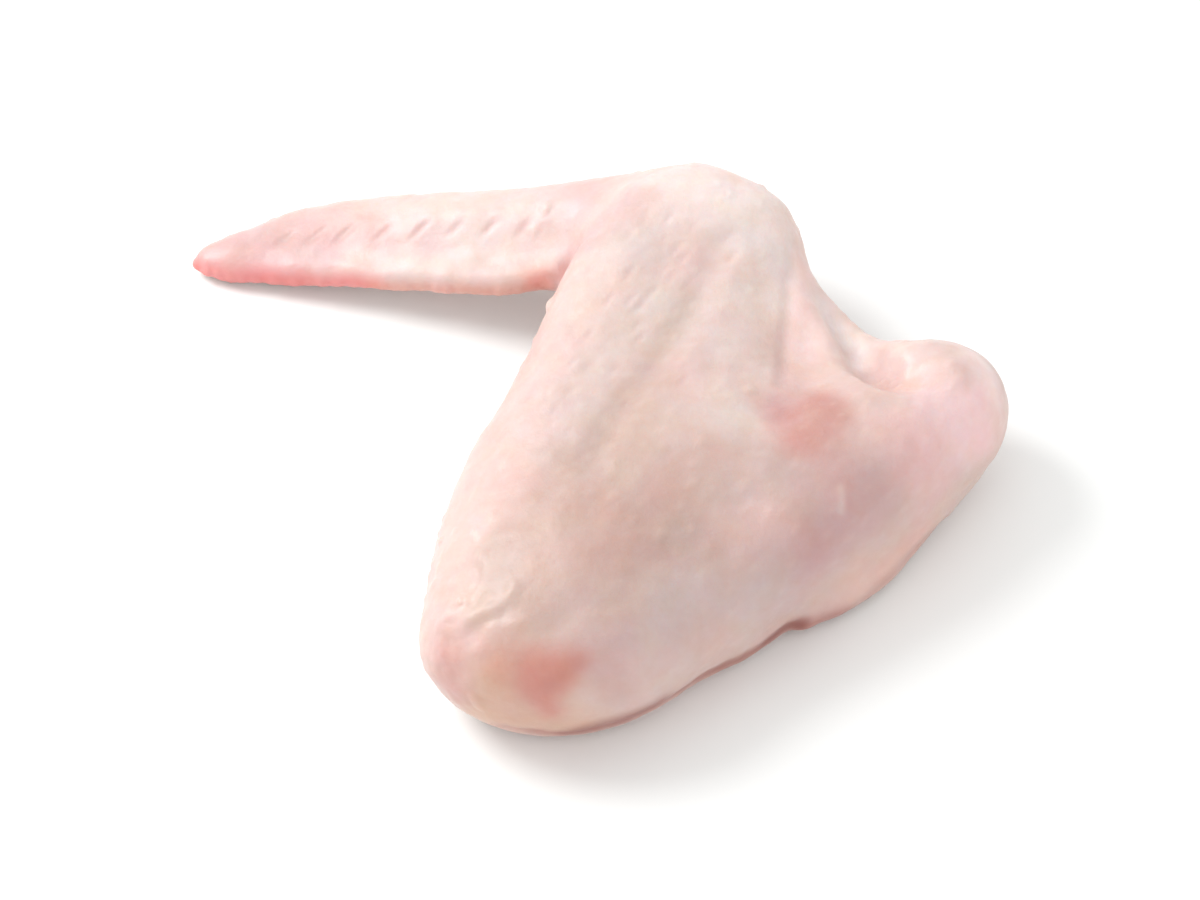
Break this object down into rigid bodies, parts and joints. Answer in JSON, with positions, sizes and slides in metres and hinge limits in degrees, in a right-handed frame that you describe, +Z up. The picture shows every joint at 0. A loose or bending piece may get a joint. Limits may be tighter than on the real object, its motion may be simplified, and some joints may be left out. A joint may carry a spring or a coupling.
{
  "type": "raw chicken wing",
  "caption": "Raw whole chicken wing with its skin on: drumette, flat and pointed tip folded into a Z, with a web of skin between drumette and flat, lying skin side up.",
  "frame": {"origin": "on the table, under the middle of the wing's bounding box", "axes": "+X to the right, from the wing tip towards the shoulder end of the drumette; +Y from the elbow towards the wrist, away from the viewer; +Z up, out of the skin side"},
  "size_m": [0.1274, 0.1034, 0.0279],
  "materials": {
    "skin": "moist pale pink skin, soft satin gloss"
  },
  "bodies": {
    "root": {"wing": "skin"}
  },
  "joints": []
}
